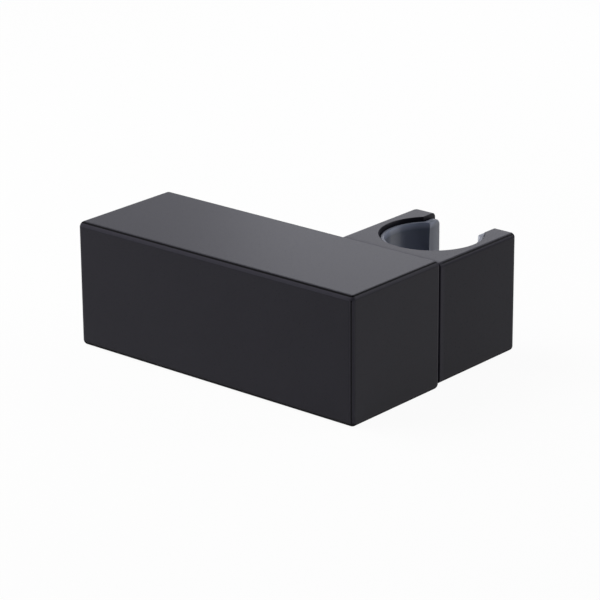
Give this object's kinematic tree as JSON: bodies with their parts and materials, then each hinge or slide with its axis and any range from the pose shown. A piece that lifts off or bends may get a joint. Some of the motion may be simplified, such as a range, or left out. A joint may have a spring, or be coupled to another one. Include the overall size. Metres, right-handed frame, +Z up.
{
  "type": "hand shower holder",
  "caption": "Square wall holder for a hand shower: a hollow box arm with a tilting C-shaped cradle on its side, lined to take the conical nut of a shower hose.",
  "frame": {"origin": "centre of the wall face, where the arm and its bracket meet the wall", "axes": "+X out of the wall along the arm, +Y from the arm to the cradle, +Z up"},
  "size_m": [0.0918, 0.0667, 0.034],
  "materials": {
    "black_plastic": "matte black paint on moulded plastic",
    "bracket_plastic": "bare black moulded plastic",
    "grey_plastic": "smooth grey moulded plastic",
    "steel": "plain stainless steel",
    "brass": "turned",
    "friction_rubber": "moulded"
  },
  "bodies": {
    "arm": {"arm_shell": "black_plastic", "wall_bracket": "bracket_plastic", "lock_nut": "steel", "lock_screw": "steel", "pivot_insert": "brass", "friction_disc": "friction_rubber", "spring_washer": "steel", "flat_washer": "steel", "pivot_screw": "steel"},
    "cradle": {"cradle": "black_plastic", "cradle_liner": "grey_plastic"}
  },
  "joints": [
    {"name": "cradle_tilt", "type": "hinge", "parent": "arm", "child": "cradle", "pos_m": [0.0751, 0.0175, 0], "axis": [0, 1, 0], "continuous": true}
  ]
}
